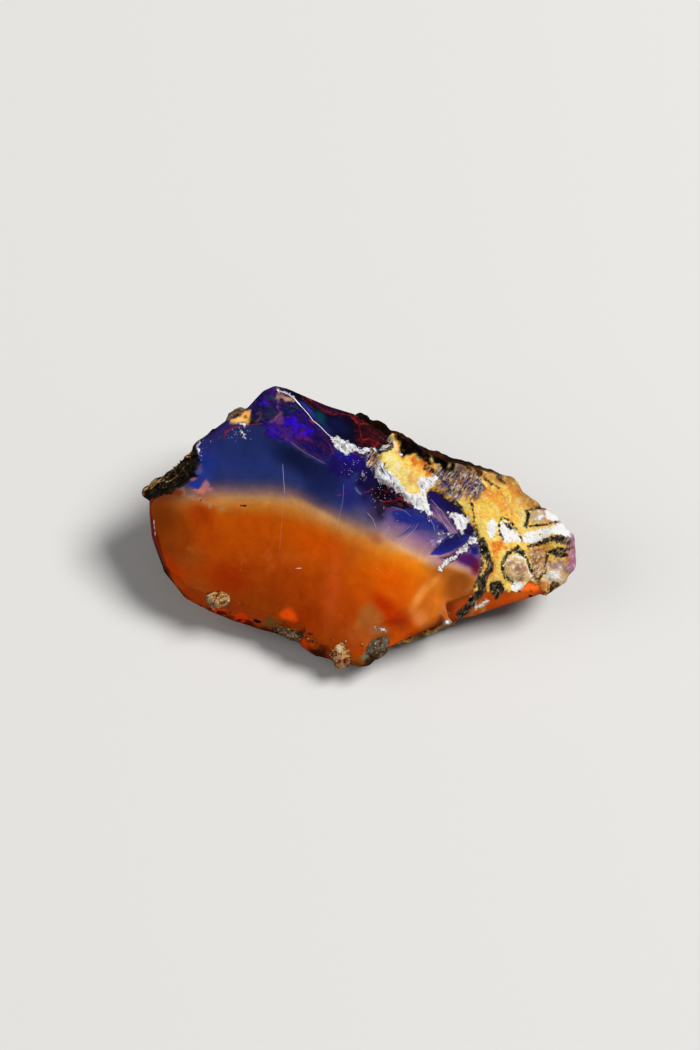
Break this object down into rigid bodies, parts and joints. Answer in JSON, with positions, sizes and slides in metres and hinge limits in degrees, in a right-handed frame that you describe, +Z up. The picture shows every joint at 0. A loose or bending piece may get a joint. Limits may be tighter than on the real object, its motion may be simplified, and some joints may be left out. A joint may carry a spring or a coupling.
{
  "type": "rough opal specimen",
  "caption": "Broken nodule of rough opal: a flat glassy window over an orange and blue body, with ochre host-rock skin on one end and the back.",
  "frame": {"origin": "on the surface that the stone lies on, under the middle of its bounding box", "axes": "+X along the stone towards its skin-covered end, +Y towards its thick back edge so that the glassy window leans back from -Y, +Z up"},
  "size_m": [0.0502, 0.0294, 0.0175],
  "materials": {
    "opal": "glassy conchoidal breaks, milky and translucent, with a rough ochre host-rock skin"
  },
  "bodies": {
    "root": {"rough_opal": "opal"}
  },
  "joints": []
}
